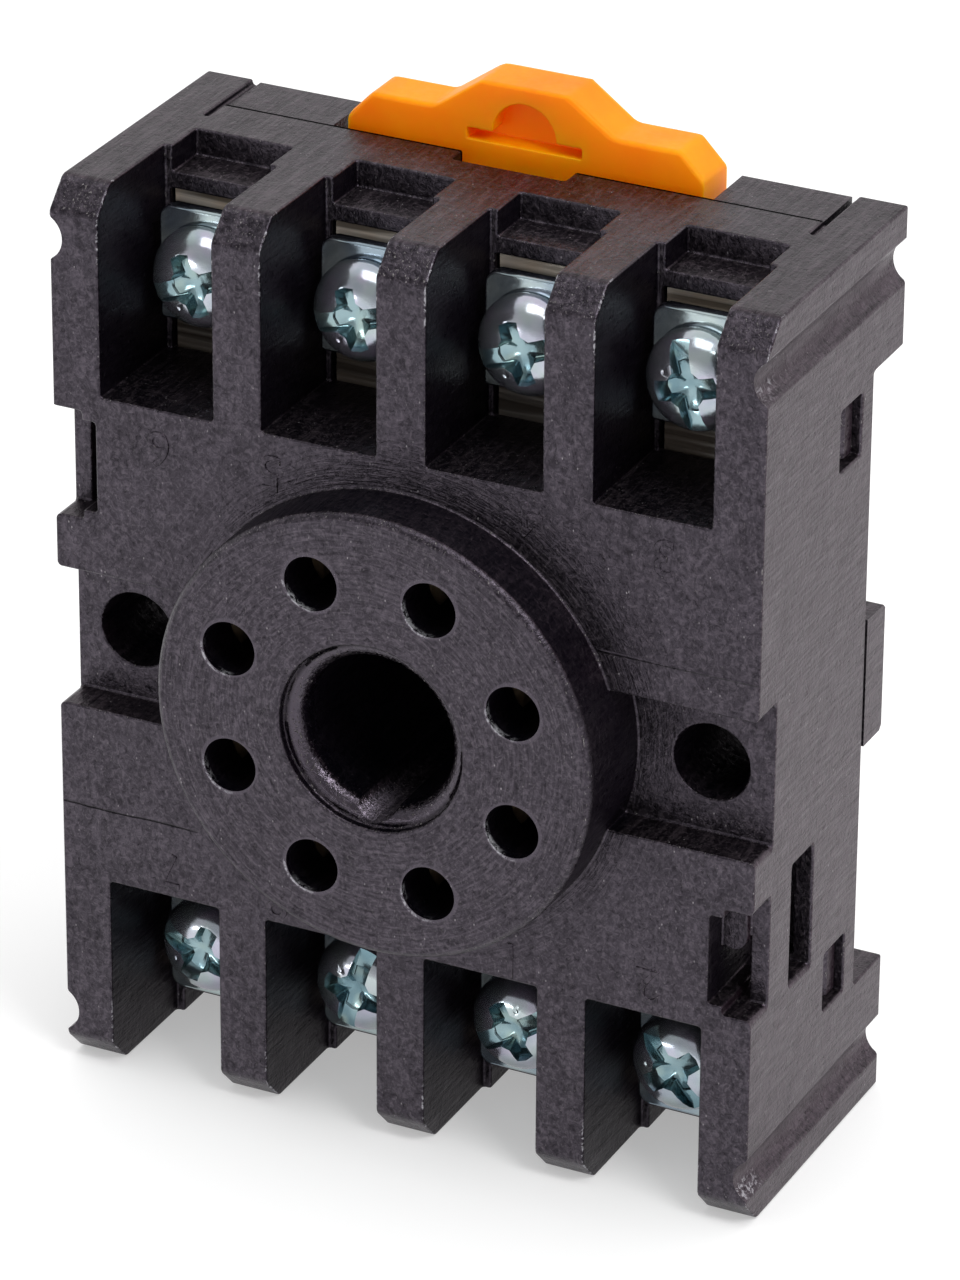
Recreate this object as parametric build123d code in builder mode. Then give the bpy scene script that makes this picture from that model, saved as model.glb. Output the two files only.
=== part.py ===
from build123d import *

import math
import os

# Eight-pin relay socket with screw terminals, for a 35 mm rail or a flat panel.
# Millimetres. +Z is up, +X to the right, and the plug face looks towards -Y.
# Depths are measured towards the rear from the front face of the barrier walls,
# and heights are measured from the axis of the plug.

# Barrier walls and terminal cavities, four above and four below
PITCH = 9.3
WALL = 2.8
CAVITY_COUNT = 4
CAVITY_DEPTH = 7.2
CAVITY_FLOOR = 14.1
HEIGHT = 51.0
CHAMFER_DEEP = 1.45
CHAMFER_HIGH = 1.5

# Notch behind each cavity, and the lip that holds the terminal bar
NOTCH_WIDTH = 5.6
NOTCH_END = 9.8
NOTCH_FLOOR = 24.05
LIP = 0.4
LIP_EDGE = 23.1

# Side profile and rail channel
CHANNEL_DEPTH = 3.7
FLANGE_DEPTH = 17.2
RAIL_TOP = 17.8
RAIL_SEAT = -17.6
HOOK_GAP = 1.6
HOOK_RISE = 1.0
HOOK_BEVEL = 0.7

# Raised boss with the plug holes
BOSS_RADIUS = 12.4
BOSS_RISE = 3.4
BOSS_EDGE = 0.3
PIN_CIRCLE = 17.45
PIN_COUNT = 8
PIN_HOLE = 3.0
BORE_RADIUS = 4.2
BORE_DEPTH = 10.2
MOUTH_RADIUS = 5.2
MOUTH_STEP = 0.5
KEY_WIDTH = 2.3
KEY_REACH = 4.95

# Panel screw holes in their open recesses
SCREW_SPACING = 33.0
SCREW_HOLE = 4.2
RECESS_HEIGHT = 7.9
RECESS_DEPTH = 2.2

# Grooves along the sides
GROOVE_HEIGHT = 22.5
GROOVE_WIDTH = 2.4
GROOVE_DEPTH = 0.75

# Pockets for a hold-down spring, lower right and upper left
CLIP_TOP = 7.0
CLIP_BOTTOM = 13.1
CLIP_WIDTH = 1.4
CLIP_SHELL = 1.05
CLIP_DEPTH = 8.6
CLIP_SETBACK = 2.1
CLIP_STEP_WIDTH = 0.8
CLIP_STEP = 0.5
CLIP_LUG_DEPTH = 1.65
CLIP_LUG_HEIGHT = 3.05
CLIP_LUG_LENGTH = 1.6
CLIP_LUG_ROUND = 0.8
CLIP_WINDOW_START = 4.8
CLIP_WINDOW_DEPTH = 2.7
CLIP_WINDOW_TOP = 6.5
CLIP_WINDOW_BOTTOM = 13.4

# Snap windows and the hooks of the rear cover
SNAP_HEIGHT = 15.5
SNAP_WIDTH = 3.4
SNAP_RUN = 2.8
SNAP_DEPTH = 2.6
SNAP_SLOT = 1.4
SNAP_SLOT_INSET = 2.8
SNAP_PLAY = 0.1
HOOK_REACH = 1.0

# Rear cover
COVER_WALL = 3.0
COVER_GAP = 0.1
COVER_INSET = 1.3
COVER_PLATE = 1.2
COVER_TOP = 23.9
COVER_DROP = 0.15
COVER_RELIEF = 4.0
COVER_RELIEF_DEPTH = 0.8
PAD_HEIGHT = 7.3
PAD_RISE = 2.6
PAD_INSET = 0.05
PAD_GAP = 0.3
PAD_ROUND = 0.25
LEDGE_WIDTH = 0.3
LEDGE_DROP = 0.3
LEDGE_RUN = 1.9
REAR_NOTCH_WIDTH = 6.4
REAR_NOTCH_DEPTH = 1.3

# Terminal bars, stamped from brass strip
BAR_THICKNESS = 1.2
BAR_PAD = 5.7
BAR_TOP = 23.25
BAR_SHOULDER = 11.2
BAR_PLAY = 0.1
FOOT = 3.8
LEG_WIDTH = 2.2
LEG_EDGE = 10.9
PEG_WIDTH = 1.6
PEG_HEIGHT = 2.0

# Spring contacts behind the plug holes
CONTACT_GAP = 2.44
CONTACT_WALL = 0.35
CONTACT_WIDTH = 3.2
CONTACT_FLARE = 0.2
CONTACT_MOUTH = 0.6
CONTACT_START = -0.2
CONTACT_BASE = 0.5
CHAMBER = 4.2
CHAMBER_START = -0.4

# Terminal screws and pressure plates
SCREW_HEIGHT = 19.5
THREAD = 3.0
THREAD_PLAY = 0.06
HEAD_RADIUS = 2.75
HEAD_RISE = 1.9
HEAD_SEAT = 5.5
TIP_GAP = 1.5
SLOT_WIDTH = 0.8
SLOT_DEPTH = 0.7
PLATE_WIDTH = 5.4
PLATE_ABOVE = 3.4
PLATE_BELOW = 2.9
PLATE_THICKNESS = 0.9
PLATE_BEVEL = 0.6
PLATE_HOLE = 3.4
PLATE_PLAY = 0.03

# Rail slider
SLIDER_GAP = 0.5
SLIDER_THICKNESS = 2.9
SLIDER_HALF = 10.1
SLIDER_SHOULDER = 8.75
SLIDER_BEVEL = 1.4
SLIDER_LOW = 1.93
SLIDER_HIGH = 3.75
CROWN_HALF = 2.5
CROWN_FOOT = 5.1
SLIDER_SLOT_GAP = 0.7
SLIDER_TRAVEL = 2.0
TONGUE = 1.4
TONGUE_THICKNESS = 0.9
TONGUE_BOTTOM = 18.4
TONGUE_HEIGHT = 2.8
RUN_GAP = 0.15
LATCH_WIDTH = 9.0
LATCH_DROP = 1.4
LATCH_BEVEL = 0.9
PRY_WIDTH = 6.5
PRY_HEIGHT = 0.6
PRY_LEVEL = 0.45
PRY_DEPTH = 1.2
DOME_RADIUS = 1.8

# Return spring of the slider
WINDOW_WIDTH = 2.9
WINDOW_BOTTOM = 18.8
WINDOW_HEIGHT = 5.3
SPRING_WIRE = 0.35
SPRING_RADIUS = 0.9
SPRING_COILS = 3
PEG_BOTTOM = 22.8
PEG_THICKNESS = 1.0

HALF_WIDTH = (CAVITY_COUNT * PITCH + WALL) / 2
HALF_HEIGHT = HEIGHT / 2
CAVITY_WIDTH = PITCH - WALL
SIDE_DEPTH = FLANGE_DEPTH - CHANNEL_DEPTH
COVER_FRONT = SIDE_DEPTH - COVER_INSET
COVER_HALF = HALF_WIDTH - COVER_WALL
PAD_DEPTH = SIDE_DEPTH + PAD_RISE
SNAP_START = COVER_FRONT - SNAP_RUN
LEDGE_START = SIDE_DEPTH - LEDGE_RUN
BAR_FRONT = CAVITY_DEPTH + LIP
BAR_REAR = BAR_FRONT + BAR_THICKNESS
SCREW_TIP = COVER_FRONT + COVER_RELIEF_DEPTH - TIP_GAP
PIN_RADIUS = PIN_CIRCLE / 2
SLIDER_FRONT = SIDE_DEPTH + SLIDER_GAP
SLIDER_REAR = SLIDER_FRONT + SLIDER_THICKNESS
SLOT_HALF = SLIDER_HALF + SLIDER_SLOT_GAP
WEB_REAR = SLIDER_FRONT - COVER_GAP
PLATE_FRONT = HEAD_SEAT + PLATE_PLAY

# The origin is under the middle of the socket, at the foot of the lower walls
FRONT_Y = (BOSS_RISE - FLANGE_DEPTH) / 2
AXIS_Z = HALF_HEIGHT


def section(depth):
    """Upright plane at a depth behind the front face, facing forwards."""
    return Plane(origin=(0, FRONT_Y + depth, AXIS_Z), x_dir=(1, 0, 0), z_dir=(0, -1, 0))


def side_section(x):
    """Upright plane across the width: its X is the depth, its Y the height."""
    return Plane(origin=(x, FRONT_Y, AXIS_Z), x_dir=(0, 1, 0), z_dir=(1, 0, 0))


def level_section(height):
    """Level plane at a height above the plug axis: its X is across, its Y the depth."""
    return Plane(origin=(0, FRONT_Y, AXIS_Z + height), x_dir=(1, 0, 0), z_dir=(0, 0, 1))


def terminal_places():
    """The terminal screws' places, left to right, upper row first."""
    places = []
    for row in (1, -1):
        for column in range(CAVITY_COUNT):
            x = (column - (CAVITY_COUNT - 1) / 2) * PITCH
            places.append((x, row * SCREW_HEIGHT))
    return places


def pin_for(x, height):
    """The plug hole that the terminal at this place leads to."""
    nearer = abs(x) < PITCH
    angle = math.radians(180 / PIN_COUNT)
    long_side = PIN_RADIUS * math.cos(angle)
    short_side = PIN_RADIUS * math.sin(angle)
    across, up = (short_side, long_side) if nearer else (long_side, short_side)
    return math.copysign(across, x), math.copysign(up, height)


def bar_outline(x, height, play):
    """Outline of one terminal bar: a pad under the screw and a foot over its plug hole."""
    side = math.copysign(1, x)
    row = math.copysign(1, height)
    pin_x, pin_z = pin_for(x, height)
    pad_middle = (BAR_TOP + BAR_SHOULDER) / 2
    with BuildSketch(section(BAR_FRONT)) as outline:
        with Locations((x, row * pad_middle)):
            Rectangle(BAR_PAD + 2 * play, BAR_TOP - BAR_SHOULDER + 2 * play)
        if abs(x) < PITCH:
            foot_low = abs(pin_z) - FOOT / 2
            with Locations((pin_x, row * (foot_low + BAR_SHOULDER) / 2)):
                Rectangle(FOOT + 2 * play, BAR_SHOULDER - foot_low + 2 * play)
        else:
            foot_low = abs(pin_z) - FOOT / 2
            foot_in = abs(pin_x) - FOOT / 2
            leg_out = LEG_EDGE + LEG_WIDTH
            with Locations((side * (LEG_EDGE + LEG_WIDTH / 2), row * (foot_low + BAR_SHOULDER) / 2)):
                Rectangle(LEG_WIDTH + 2 * play, BAR_SHOULDER - foot_low + 2 * play)
            with Locations((side * (foot_in + leg_out) / 2, pin_z)):
                Rectangle(leg_out - foot_in + 2 * play, FOOT + 2 * play)
    return outline.sketch


def make_housing():
    with BuildPart() as housing:
        # Side profile: chamfered fronts, flat rear flanges and the rail channel between them
        with BuildSketch(side_section(0)):
            with BuildLine():
                Polyline(
                    (0, CHAMFER_HIGH - HALF_HEIGHT),
                    (0, HALF_HEIGHT - CHAMFER_HIGH),
                    (CHAMFER_DEEP, HALF_HEIGHT),
                    (FLANGE_DEPTH, HALF_HEIGHT),
                    (FLANGE_DEPTH, RAIL_TOP),
                    (SIDE_DEPTH, RAIL_TOP),
                    (SIDE_DEPTH, RAIL_SEAT),
                    (FLANGE_DEPTH, RAIL_SEAT),
                    (FLANGE_DEPTH, -HALF_HEIGHT),
                    (CHAMFER_DEEP, -HALF_HEIGHT),
                    close=True,
                )
            make_face()
        extrude(amount=HALF_WIDTH, both=True)

        # Open recesses beside the boss, for the heads of the panel screws
        with BuildSketch(section(0)):
            Rectangle(2 * HALF_WIDTH, RECESS_HEIGHT)
        extrude(amount=-RECESS_DEPTH, mode=Mode.SUBTRACT)

        # Boss that carries the plug holes
        with BuildSketch(section(RECESS_DEPTH)):
            Circle(BOSS_RADIUS)
        extrude(amount=RECESS_DEPTH + BOSS_RISE)
        boss_rim = housing.edges().filter_by(GeomType.CIRCLE).group_by(Axis.Y)[0]
        chamfer(boss_rim, BOSS_EDGE)

        # Terminal cavities, open at the front and at the outer ends
        cavity_height = HALF_HEIGHT - CAVITY_FLOOR
        cavity_middle = CAVITY_FLOOR + cavity_height / 2
        with BuildSketch(section(0)):
            with GridLocations(PITCH, 2 * cavity_middle, CAVITY_COUNT, 2):
                Rectangle(CAVITY_WIDTH, cavity_height)
        extrude(amount=-CAVITY_DEPTH, mode=Mode.SUBTRACT)

        # Windows in the cavity's rear lip, where the terminal bar shows
        window_height = LIP_EDGE - CAVITY_FLOOR
        window_middle = CAVITY_FLOOR + window_height / 2
        with BuildSketch(section(CAVITY_DEPTH)):
            with GridLocations(PITCH, 2 * window_middle, CAVITY_COUNT, 2):
                Rectangle(BAR_PAD + 2 * BAR_PLAY, window_height)
        extrude(amount=-LIP, mode=Mode.SUBTRACT)

        # Narrower notches behind the cavities, above the shelf over each bar
        notch_height = HALF_HEIGHT - NOTCH_FLOOR
        with BuildSketch(section(CAVITY_DEPTH)):
            with GridLocations(PITCH, 2 * (NOTCH_FLOOR + notch_height / 2), CAVITY_COUNT, 2):
                Rectangle(NOTCH_WIDTH, notch_height)
        extrude(amount=CAVITY_DEPTH - NOTCH_END, mode=Mode.SUBTRACT)

        # Rear recess that the cover closes: within the end walls first, then full height
        with BuildSketch(section(COVER_FRONT)):
            Rectangle(2 * COVER_HALF, 2 * COVER_TOP)
        extrude(amount=COVER_FRONT - FLANGE_DEPTH, mode=Mode.SUBTRACT)
        with BuildSketch(section(SIDE_DEPTH)):
            Rectangle(2 * COVER_HALF, HEIGHT)
        extrude(amount=SIDE_DEPTH - FLANGE_DEPTH, mode=Mode.SUBTRACT)

        # Pockets for the terminal bars, open to the rear
        for x, height in terminal_places():
            pocket = bar_outline(x, height, BAR_PLAY)
            extrude(pocket, amount=BAR_FRONT - COVER_FRONT, mode=Mode.SUBTRACT)

        # Contact chambers, and the plug holes that lead into them
        with BuildSketch(section(CHAMBER_START)):
            with PolarLocations(PIN_RADIUS, PIN_COUNT, start_angle=180 / PIN_COUNT, rotate=False):
                Rectangle(CHAMBER, CHAMBER)
        extrude(amount=CHAMBER_START - BAR_REAR, mode=Mode.SUBTRACT)
        with BuildSketch(section(-BOSS_RISE)):
            with PolarLocations(PIN_RADIUS, PIN_COUNT, start_angle=180 / PIN_COUNT):
                Circle(PIN_HOLE / 2)
        extrude(amount=-(BOSS_RISE + CHAMBER_START), mode=Mode.SUBTRACT)

        # Bore for the plug's guide post, with a stepped and rounded mouth and a keyway below
        lip = MOUTH_RADIUS - BORE_RADIUS
        lip_start = MOUTH_STEP - BOSS_RISE
        lip_middle = lip * math.sin(math.pi / 4)
        with BuildSketch(side_section(0)):
            with BuildLine():
                Polyline((lip_start, MOUTH_RADIUS), (-BOSS_RISE, MOUTH_RADIUS), (-BOSS_RISE, 0))
                Polyline((-BOSS_RISE, 0), (BORE_DEPTH, 0), (BORE_DEPTH, BORE_RADIUS))
                Line((BORE_DEPTH, BORE_RADIUS), (lip_start + lip, BORE_RADIUS))
                ThreePointArc(
                    (lip_start + lip, BORE_RADIUS),
                    (lip_start + lip - lip_middle, MOUTH_RADIUS - lip_middle),
                    (lip_start, MOUTH_RADIUS),
                )
            make_face()
        revolve(axis=Axis((0, 0, AXIS_Z), (0, 1, 0)), mode=Mode.SUBTRACT)
        key_end = KEY_REACH - KEY_WIDTH / 2
        with BuildSketch(section(-BOSS_RISE)):
            with Locations((0, -key_end / 2)):
                Rectangle(KEY_WIDTH, key_end)
            with Locations((0, -key_end)):
                Circle(KEY_WIDTH / 2)
        extrude(amount=-(BOSS_RISE + BORE_DEPTH), mode=Mode.SUBTRACT)

        # Holes for the panel screws
        with BuildSketch(section(0)):
            with GridLocations(SCREW_SPACING, 0, 2, 1):
                Circle(SCREW_HOLE / 2)
        extrude(amount=-FLANGE_DEPTH, mode=Mode.SUBTRACT)

        # Round grooves along both sides, near the upper and lower ends
        with BuildSketch(section(0)):
            for side in (1, -1):
                for row in (1, -1):
                    middle = row * GROOVE_HEIGHT
                    edge = side * HALF_WIDTH
                    floor = side * (HALF_WIDTH - GROOVE_DEPTH)
                    low = (edge, middle - GROOVE_WIDTH / 2)
                    high = (edge, middle + GROOVE_WIDTH / 2)
                    with BuildLine():
                        Line(low, high)
                        ThreePointArc(high, (floor, middle), low)
                    make_face()
        extrude(amount=-FLANGE_DEPTH, mode=Mode.SUBTRACT)

        # Hold-down spring pockets, the same again half a turn about the plug axis
        clip_outer = HALF_WIDTH - CLIP_SHELL
        clip_inner = clip_outer - CLIP_WIDTH
        clip_middle = -(CLIP_TOP + CLIP_BOTTOM) / 2
        clip_height = CLIP_BOTTOM - CLIP_TOP
        with BuildSketch(section(0)):
            with PolarLocations(0, 2):
                with Locations((clip_outer - (CLIP_WIDTH - CLIP_STEP_WIDTH) / 2, clip_middle)):
                    Rectangle(CLIP_WIDTH - CLIP_STEP_WIDTH, clip_height)
                with Locations((clip_inner + CLIP_STEP_WIDTH / 2, clip_middle)):
                    Rectangle(CLIP_STEP_WIDTH, clip_height - 2 * CLIP_STEP)
        extrude(amount=-CLIP_DEPTH, mode=Mode.SUBTRACT)
        with BuildSketch(section(0)):
            with PolarLocations(0, 2):
                with Locations((HALF_WIDTH - CLIP_SHELL / 2, clip_middle)):
                    Rectangle(CLIP_SHELL, clip_height)
        extrude(amount=-CLIP_SETBACK, mode=Mode.SUBTRACT)

        # Side windows: one tall one into each spring pocket, and four for the cover's hooks
        with BuildSketch(section(CLIP_WINDOW_START)):
            with PolarLocations(0, 2):
                window_x = (HALF_WIDTH + clip_inner) / 2
                with Locations((window_x, -(CLIP_WINDOW_TOP + CLIP_WINDOW_BOTTOM) / 2)):
                    Rectangle(HALF_WIDTH - clip_inner, CLIP_WINDOW_BOTTOM - CLIP_WINDOW_TOP)
        extrude(amount=-CLIP_WINDOW_DEPTH, mode=Mode.SUBTRACT)
        snap_inner = HALF_WIDTH - SNAP_SLOT_INSET
        with BuildSketch(section(SNAP_START)):
            with GridLocations(HALF_WIDTH + snap_inner, 2 * SNAP_HEIGHT, 2, 2):
                Rectangle(HALF_WIDTH - snap_inner, SNAP_WIDTH)
        extrude(amount=-SNAP_DEPTH, mode=Mode.SUBTRACT)
        with BuildSketch(section(SNAP_START)):
            with GridLocations(2 * snap_inner + SNAP_SLOT, 2 * SNAP_HEIGHT, 2, 2):
                Rectangle(SNAP_SLOT, SNAP_WIDTH)
        extrude(amount=SNAP_START - SIDE_DEPTH, mode=Mode.SUBTRACT)
        slot_outer = snap_inner + SNAP_SLOT
        with BuildSketch(section(COVER_FRONT)):
            with GridLocations(COVER_HALF + slot_outer, 2 * SNAP_HEIGHT, 2, 2):
                Rectangle(slot_outer - COVER_HALF, SNAP_WIDTH)
        extrude(amount=COVER_FRONT - SIDE_DEPTH, mode=Mode.SUBTRACT)

        # Lug in the mouth of the lower spring pocket, with its free outer corner rounded
        with BuildSketch(section(CLIP_LUG_DEPTH)) as lug:
            with Locations((clip_outer - CLIP_WIDTH / 2, -CLIP_TOP - CLIP_LUG_HEIGHT / 2)):
                Rectangle(CLIP_WIDTH, CLIP_LUG_HEIGHT)
            fillet(lug.vertices().sort_by(Axis((0, 0, 0), (1, -1, 0)))[-1], CLIP_LUG_ROUND)
        extrude(amount=-CLIP_LUG_LENGTH)

        # Ledges along the rear of the end walls, and the notch in front of the slider
        with BuildSketch(section(LEDGE_START)):
            ledge_x = COVER_HALF + LEDGE_WIDTH / 2
            with GridLocations(2 * ledge_x, HEIGHT - LEDGE_DROP, 2, 2):
                Rectangle(LEDGE_WIDTH, LEDGE_DROP)
        extrude(amount=LEDGE_START - FLANGE_DEPTH, mode=Mode.SUBTRACT)
        with BuildSketch(section(SIDE_DEPTH - REAR_NOTCH_DEPTH)):
            with Locations((0, (HALF_HEIGHT + COVER_TOP) / 2)):
                Rectangle(REAR_NOTCH_WIDTH, HALF_HEIGHT - COVER_TOP)
        extrude(amount=-REAR_NOTCH_DEPTH, mode=Mode.SUBTRACT)

    housing.part.label = "housing"
    return housing.part


def make_rear_cover():
    half = COVER_HALF - COVER_GAP
    plate_rear = COVER_FRONT + COVER_PLATE
    with BuildPart() as cover:
        # Base plate, with the upper and lower blocks beyond the rail channel and the rail's fixed hook
        with BuildSketch(section(COVER_FRONT)):
            Rectangle(2 * half, 2 * (COVER_TOP - COVER_GAP))
        extrude(amount=-COVER_PLATE)
        with BuildSketch(side_section(0)):
            block_front = SIDE_DEPTH + COVER_GAP
            with BuildLine():
                Polyline(
                    (plate_rear, RAIL_TOP),
                    (plate_rear, COVER_TOP - COVER_GAP),
                    (block_front, COVER_TOP - COVER_GAP),
                    (block_front, HALF_HEIGHT - COVER_DROP),
                    (FLANGE_DEPTH, HALF_HEIGHT - COVER_DROP),
                    (FLANGE_DEPTH, RAIL_TOP),
                    close=True,
                )
            make_face()
            with BuildLine():
                Polyline(
                    (plate_rear, RAIL_SEAT),
                    (plate_rear, COVER_GAP - COVER_TOP),
                    (block_front, COVER_GAP - COVER_TOP),
                    (block_front, COVER_DROP - HALF_HEIGHT),
                    (FLANGE_DEPTH, COVER_DROP - HALF_HEIGHT),
                    (FLANGE_DEPTH, RAIL_SEAT - HOOK_BEVEL),
                    (FLANGE_DEPTH - HOOK_BEVEL, RAIL_SEAT + HOOK_RISE),
                    (SIDE_DEPTH + HOOK_GAP, RAIL_SEAT + HOOK_RISE),
                    (SIDE_DEPTH + HOOK_GAP, RAIL_SEAT),
                    close=True,
                )
            make_face()
        extrude(amount=half, both=True)

        # Bar across the middle of the rear, rounded along its edges
        with BuildSketch(side_section(0)):
            with BuildLine():
                Polyline(
                    (plate_rear, -PAD_HEIGHT / 2),
                    (plate_rear, PAD_HEIGHT / 2),
                    (PAD_DEPTH - PAD_ROUND, PAD_HEIGHT / 2),
                    (PAD_DEPTH, PAD_HEIGHT / 2 - PAD_ROUND),
                    (PAD_DEPTH, PAD_ROUND - PAD_HEIGHT / 2),
                    (PAD_DEPTH - PAD_ROUND, -PAD_HEIGHT / 2),
                    close=True,
                )
            make_face()
        extrude(amount=half, both=True)
        with BuildSketch(side_section(0)):
            pad_front = SIDE_DEPTH + PAD_GAP
            with BuildLine():
                Polyline(
                    (pad_front, -PAD_HEIGHT / 2),
                    (pad_front, PAD_HEIGHT / 2),
                    (PAD_DEPTH - PAD_ROUND, PAD_HEIGHT / 2),
                    (PAD_DEPTH, PAD_HEIGHT / 2 - PAD_ROUND),
                    (PAD_DEPTH, PAD_ROUND - PAD_HEIGHT / 2),
                    (PAD_DEPTH - PAD_ROUND, -PAD_HEIGHT / 2),
                    close=True,
                )
            make_face()
        extrude(amount=HALF_WIDTH - PAD_INSET, both=True)

        # Snap arms through the end walls, each with a ramped hook
        arm_inner = HALF_WIDTH - SNAP_SLOT_INSET + SNAP_PLAY
        arm_outer = arm_inner + SNAP_SLOT - 2 * SNAP_PLAY
        snap_end = SNAP_START + SNAP_DEPTH
        for row in (1, -1):
            with BuildSketch(level_section(row * SNAP_HEIGHT)):
                for side in (1, -1):
                    with BuildLine():
                        Polyline(
                            (side * (half - COVER_GAP), COVER_FRONT),
                            (side * arm_inner, COVER_FRONT),
                            (side * arm_inner, SNAP_START + SNAP_PLAY),
                            (side * arm_outer, SNAP_START + SNAP_PLAY),
                            (side * (arm_outer + HOOK_REACH), snap_end - HOOK_REACH),
                            (side * (arm_outer + HOOK_REACH), snap_end - SNAP_PLAY),
                            (side * arm_outer, snap_end - SNAP_PLAY),
                            (side * arm_outer, plate_rear),
                            (side * (half - COVER_GAP), plate_rear),
                            close=True,
                        )
                    make_face()
            extrude(amount=SNAP_WIDTH / 2 - SNAP_PLAY, both=True)

        # Pegs that press each terminal bar against the housing
        with BuildSketch(section(COVER_FRONT)):
            for x, height in terminal_places():
                with Locations((x, math.copysign(BAR_SHOULDER + PEG_HEIGHT, height))):
                    Rectangle(PEG_WIDTH, PEG_HEIGHT)
        extrude(amount=COVER_FRONT - BAR_REAR)

        # Shallow wells behind the terminal screws
        with BuildSketch(section(COVER_FRONT)):
            with GridLocations(PITCH, 2 * SCREW_HEIGHT, CAVITY_COUNT, 2):
                Rectangle(COVER_RELIEF, COVER_RELIEF)
        extrude(amount=-COVER_RELIEF_DEPTH, mode=Mode.SUBTRACT)

        # Holes for the panel screws
        with BuildSketch(section(COVER_FRONT)):
            with GridLocations(SCREW_SPACING, 0, 2, 1):
                Circle(SCREW_HOLE / 2)
        extrude(amount=COVER_FRONT - FLANGE_DEPTH, mode=Mode.SUBTRACT)

        # Slot for the rail slider, open upwards, downwards and to the rear
        slot_middle = (RAIL_TOP + HALF_HEIGHT) / 2
        with BuildSketch(section(WEB_REAR)):
            with Locations((0, slot_middle)):
                Rectangle(2 * SLOT_HALF, HALF_HEIGHT - RAIL_TOP)
        extrude(amount=WEB_REAR - FLANGE_DEPTH, mode=Mode.SUBTRACT)
        with BuildSketch(section(block_front)):
            with Locations((0, (COVER_TOP - COVER_GAP + HALF_HEIGHT) / 2)):
                Rectangle(2 * SLOT_HALF, HALF_HEIGHT - COVER_TOP + COVER_GAP)
        extrude(amount=block_front - WEB_REAR, mode=Mode.SUBTRACT)

        # Grooves for the slider's tongues, closed at both ends
        groove_bottom = TONGUE_BOTTOM - RUN_GAP
        groove_height = TONGUE_HEIGHT + SLIDER_TRAVEL + 2 * RUN_GAP
        groove_half = SLIDER_HALF + TONGUE + RUN_GAP
        groove_front = (SLIDER_FRONT + SLIDER_REAR - TONGUE_THICKNESS) / 2 - RUN_GAP
        with BuildSketch(section(groove_front)):
            with Locations((0, groove_bottom + groove_height / 2)):
                Rectangle(2 * groove_half, groove_height)
        extrude(amount=-(TONGUE_THICKNESS + 2 * RUN_GAP), mode=Mode.SUBTRACT)

        # Peg that holds the upper end of the slider's spring
        with BuildSketch(section(WEB_REAR)):
            with Locations((0, PEG_BOTTOM + PEG_THICKNESS / 2)):
                Rectangle(WINDOW_WIDTH - 4 * RUN_GAP, PEG_THICKNESS)
        extrude(amount=WEB_REAR - SLIDER_REAR)

    cover.part.label = "rear_cover"
    return cover.part


def make_din_slider():
    middle_depth = (SLIDER_FRONT + SLIDER_REAR) / 2
    with BuildPart() as slider:
        # Plate with the pulling crown between two shoulders
        with BuildSketch(section(SLIDER_FRONT)):
            with BuildLine():
                Polyline(
                    (-SLIDER_HALF, RAIL_TOP + RUN_GAP),
                    (-SLIDER_HALF, HALF_HEIGHT + SLIDER_LOW - SLIDER_BEVEL),
                    (-SLIDER_SHOULDER, HALF_HEIGHT + SLIDER_LOW),
                    (-CROWN_FOOT, HALF_HEIGHT + SLIDER_LOW),
                    (-CROWN_HALF, HALF_HEIGHT + SLIDER_HIGH),
                    (CROWN_HALF, HALF_HEIGHT + SLIDER_HIGH),
                    (CROWN_FOOT, HALF_HEIGHT + SLIDER_LOW),
                    (SLIDER_SHOULDER, HALF_HEIGHT + SLIDER_LOW),
                    (SLIDER_HALF, HALF_HEIGHT + SLIDER_LOW - SLIDER_BEVEL),
                    (SLIDER_HALF, RAIL_TOP + RUN_GAP),
                    close=True,
                )
            make_face()
            with Locations((0, WINDOW_BOTTOM + WINDOW_HEIGHT / 2)):
                Rectangle(WINDOW_WIDTH, WINDOW_HEIGHT, mode=Mode.SUBTRACT)
        extrude(amount=-SLIDER_THICKNESS)

        # Side tongues that run in the cover's grooves
        with BuildSketch(section(middle_depth - TONGUE_THICKNESS / 2)):
            tongue_x = SLIDER_HALF + TONGUE / 2
            with Locations((0, TONGUE_BOTTOM + TONGUE_HEIGHT / 2)):
                with GridLocations(2 * tongue_x, 0, 2, 1):
                    Rectangle(TONGUE, TONGUE_HEIGHT)
        extrude(amount=-TONGUE_THICKNESS)

        # Latch that reaches down behind the edge of the rail, bevelled to snap over it
        latch_front = SIDE_DEPTH + HOOK_GAP
        latch_top = RAIL_TOP + RUN_GAP
        with BuildSketch(side_section(0)):
            with BuildLine():
                Polyline(
                    (latch_front, latch_top),
                    (SLIDER_REAR, latch_top),
                    (SLIDER_REAR, latch_top - LATCH_DROP + LATCH_BEVEL),
                    (latch_front + LATCH_BEVEL / 2, latch_top - LATCH_DROP - RUN_GAP),
                    (latch_front, latch_top - LATCH_DROP - RUN_GAP),
                    close=True,
                )
            make_face()
        extrude(amount=LATCH_WIDTH / 2, both=True)

        # Recess for a screwdriver: a level slot under a round dome
        pry_middle = HALF_HEIGHT + PRY_LEVEL + PRY_HEIGHT / 2
        with BuildSketch(section(SLIDER_FRONT)):
            with Locations((0, pry_middle)):
                Rectangle(PRY_WIDTH, PRY_HEIGHT)
            with Locations((0, pry_middle + PRY_HEIGHT / 2)):
                Circle(DOME_RADIUS)
            with Locations((0, pry_middle - PRY_HEIGHT / 2 - DOME_RADIUS)):
                Rectangle(PRY_WIDTH, 2 * DOME_RADIUS, mode=Mode.SUBTRACT)
        extrude(amount=-PRY_DEPTH, mode=Mode.SUBTRACT)

    slider.part.label = "din_slider"
    return slider.part


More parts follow.
